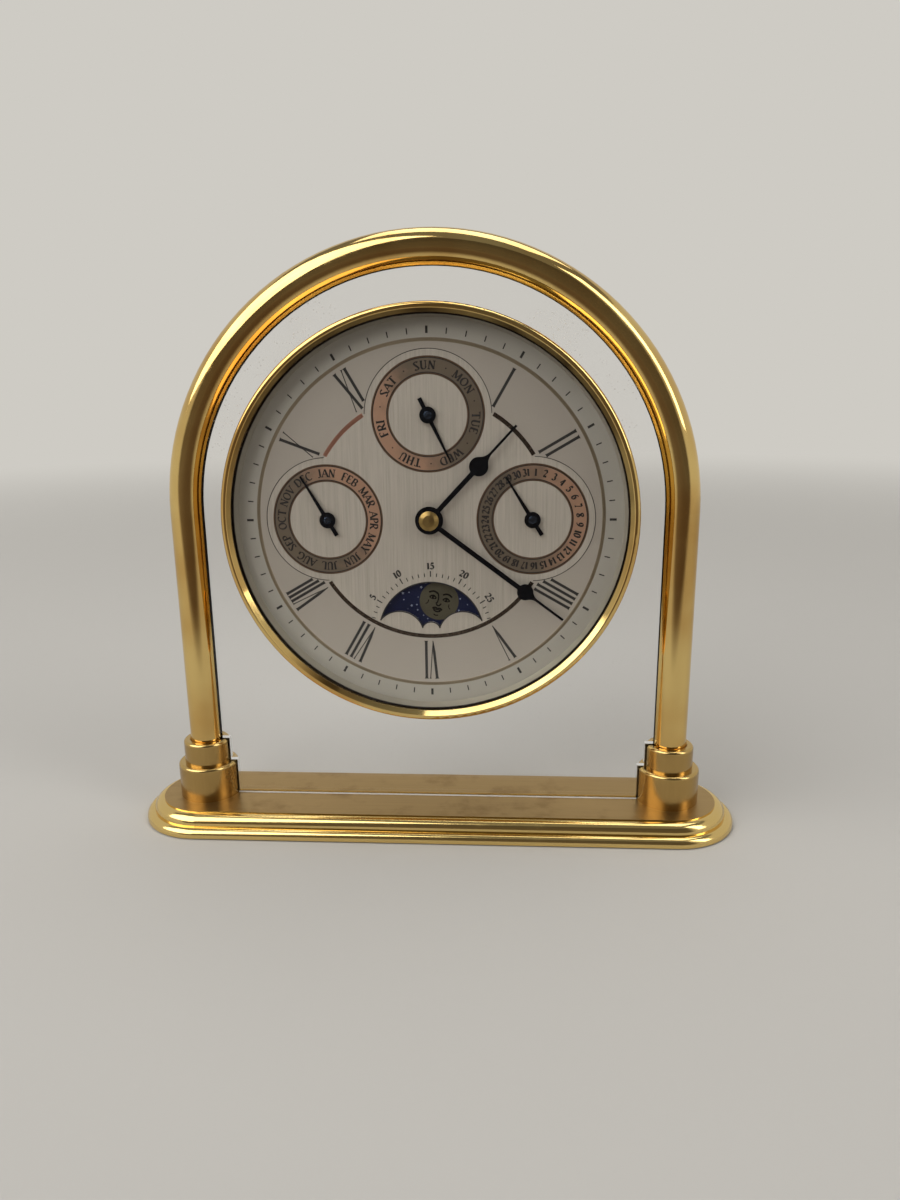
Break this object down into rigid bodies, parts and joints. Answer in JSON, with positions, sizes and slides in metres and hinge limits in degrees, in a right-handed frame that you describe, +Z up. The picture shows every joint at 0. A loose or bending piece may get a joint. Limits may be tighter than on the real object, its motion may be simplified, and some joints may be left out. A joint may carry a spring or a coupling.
{
  "type": "desk clock with calendar",
  "caption": "Arched brass desk clock with a glass pane that carries a round calendar dial, with small day, date and month dials and a moon window.",
  "frame": {"origin": "middle of the footprint on the table", "axes": "+Z up, the dial faces -Y, +X to the right as seen from the front"},
  "size_m": [0.1842, 0.0402, 0.1729],
  "materials": {
    "polished_brass": "mirror polish",
    "satin_brass": "satin brushed along its length, polished moulding",
    "drum_brass": "polished",
    "rehaut_metal": "dark polished",
    "clear_glass": "clear, polished edges",
    "felt": "short pile felt",
    "seal_rubber": "matte",
    "plain_steel": "machined",
    "silvered_dial": "silvered, fine vertical brushing",
    "dark_hands": "blue-black lacquer",
    "moon_enamel": "navy print",
    "wheel_brass": "stamped and turned",
    "spring_steel": "rolled strip",
    "movement_plastic": "moulded",
    "train_plastic": "moulded acetal",
    "stator_iron": "stamped",
    "coil_copper": "enamelled copper wire",
    "board_laminate": "glass-fibre board",
    "can_metal": "drawn can",
    "cell_jacket": "plain jacket",
    "black_plastic": "fine moulded texture",
    "knob_plastic": "moulded, ribbed edge"
  },
  "bodies": {
    "root": {"arch_tube": "polished_brass", "bezel": "polished_brass", "clamp_ring": "polished_brass", "leg_collars": "polished_brass", "base": "satin_brass", "case_drum": "drum_brass", "rehaut_ring": "rehaut_metal", "glass_pane": "clear_glass", "crystal": "clear_glass", "base_pad": "felt", "pane_gaskets": "seal_rubber", "crystal_gasket": "seal_rubber", "base_screws": "plain_steel", "case_screws": "plain_steel", "movement_screws": "plain_steel", "door_hinge_pin": "plain_steel", "tube_inserts": "plain_steel", "dial_plate": "silvered_dial", "calendar_plate": "wheel_brass", "case_pillars": "wheel_brass", "calendar_jumpers": "spring_steel", "positive_contact": "spring_steel", "negative_contact": "spring_steel", "movement_front_shell": "movement_plastic", "movement_rear_shell": "movement_plastic", "train_plate": "movement_plastic", "coil_bobbin": "train_plastic", "stator": "stator_iron", "coil_winding": "coil_copper", "circuit_board": "board_laminate", "quartz_resonator": "can_metal", "battery_cell": "cell_jacket", "rear_cover": "black_plastic"},
    "minute": {"minute_arbor": "wheel_brass", "minute_hand": "dark_hands", "hand_nut": "polished_brass", "time_knob": "knob_plastic"},
    "hour": {"hour_wheel": "wheel_brass", "hour_hand": "dark_hands"},
    "minute_gear": {"minute_wheel": "wheel_brass"},
    "day_date_drive": {"day_date_drive_wheel": "wheel_brass"},
    "moon_month_drive": {"moon_month_drive_wheel": "wheel_brass"},
    "day": {"day_star_wheel": "wheel_brass", "day_hand": "dark_hands", "day_knob": "knob_plastic"},
    "date": {"date_star_wheel": "wheel_brass", "date_hand": "dark_hands", "date_knob": "knob_plastic"},
    "month": {"month_star_wheel": "wheel_brass", "month_hand": "dark_hands", "month_knob": "knob_plastic"},
    "moon": {"moon_star_wheel": "wheel_brass", "moon_disc": "moon_enamel", "moon_knob": "knob_plastic"},
    "centre_gear": {"centre_wheel": "train_plastic"},
    "third_gear": {"third_wheel": "train_plastic"},
    "second_gear": {"second_wheel": "train_plastic"},
    "intermediate_gear": {"intermediate_wheel": "train_plastic"},
    "rotor_gear": {"rotor": "train_plastic"},
    "door": {"battery_door": "black_plastic"}
  },
  "joints": [
    {"name": "minute_spin", "type": "hinge", "parent": "root", "child": "minute", "pos_m": [0, 0, 0.0944], "axis": [0, 1, 0], "continuous": true},
    {"name": "hour_spin", "type": "hinge", "parent": "root", "child": "hour", "pos_m": [0, 0, 0.0944], "axis": [0, 1, 0], "continuous": true},
    {"name": "minute_gear_spin", "type": "hinge", "parent": "root", "child": "minute_gear", "pos_m": [0.00849, 0, 0.08591], "axis": [0, 1, 0], "continuous": true},
    {"name": "day_date_drive_spin", "type": "hinge", "parent": "root", "child": "day_date_drive", "pos_m": [0.01018, 0, 0.10458], "axis": [0, 1, 0], "continuous": true},
    {"name": "moon_month_drive_spin", "type": "hinge", "parent": "root", "child": "moon_month_drive", "pos_m": [-0.01018, 0, 0.08422], "axis": [0, 1, 0], "continuous": true},
    {"name": "day_spin", "type": "hinge", "parent": "root", "child": "day", "pos_m": [0, 0, 0.1237], "axis": [0, 1, 0], "continuous": true},
    {"name": "date_spin", "type": "hinge", "parent": "root", "child": "date", "pos_m": [0.0293, 0, 0.0944], "axis": [0, 1, 0], "continuous": true},
    {"name": "month_spin", "type": "hinge", "parent": "root", "child": "month", "pos_m": [-0.0293, 0, 0.0944], "axis": [0, 1, 0], "continuous": true},
    {"name": "moon_spin", "type": "hinge", "parent": "root", "child": "moon", "pos_m": [0, 0, 0.0607], "axis": [0, 1, 0], "continuous": true},
    {"name": "second_gear_spin", "type": "hinge", "parent": "root", "child": "second_gear", "pos_m": [0.01377, 0, 0.10523], "axis": [0, 1, 0], "continuous": true},
    {"name": "third_gear_spin", "type": "hinge", "parent": "root", "child": "third_gear", "pos_m": [0.0054, 0, 0.10375], "axis": [0, 1, 0], "continuous": true},
    {"name": "centre_gear_spin", "type": "hinge", "parent": "root", "child": "centre_gear", "pos_m": [0, 0, 0.0944], "axis": [0, 1, 0], "continuous": true},
    {"name": "intermediate_gear_spin", "type": "hinge", "parent": "root", "child": "intermediate_gear", "pos_m": [0.01499, 0, 0.09834], "axis": [0, 1, 0], "continuous": true},
    {"name": "rotor_spin", "type": "hinge", "parent": "root", "child": "rotor_gear", "pos_m": [0.01799, 0, 0.09314], "axis": [0, 1, 0], "continuous": true},
    {"name": "battery_door_hinge", "type": "hinge", "parent": "root", "child": "door", "pos_m": [0, 0.0181, 0.0669], "axis": [-1, 0, 0], "range_deg": [0, 100]}
  ],
  "couplings": [
    {"joint": "hour_spin", "follows": "minute_spin", "ratio": 0.083333},
    {"joint": "minute_gear_spin", "follows": "minute_spin", "ratio": -0.33333},
    {"joint": "day_date_drive_spin", "follows": "minute_spin", "ratio": -0.041667},
    {"joint": "moon_month_drive_spin", "follows": "minute_spin", "ratio": -0.041667},
    {"joint": "intermediate_gear_spin", "follows": "rotor_spin", "ratio": -0.2},
    {"joint": "second_gear_spin", "follows": "rotor_spin", "ratio": 0.033333},
    {"joint": "third_gear_spin", "follows": "rotor_spin", "ratio": -0.0044444},
    {"joint": "centre_gear_spin", "follows": "rotor_spin", "ratio": 0.00055556}
  ]
}
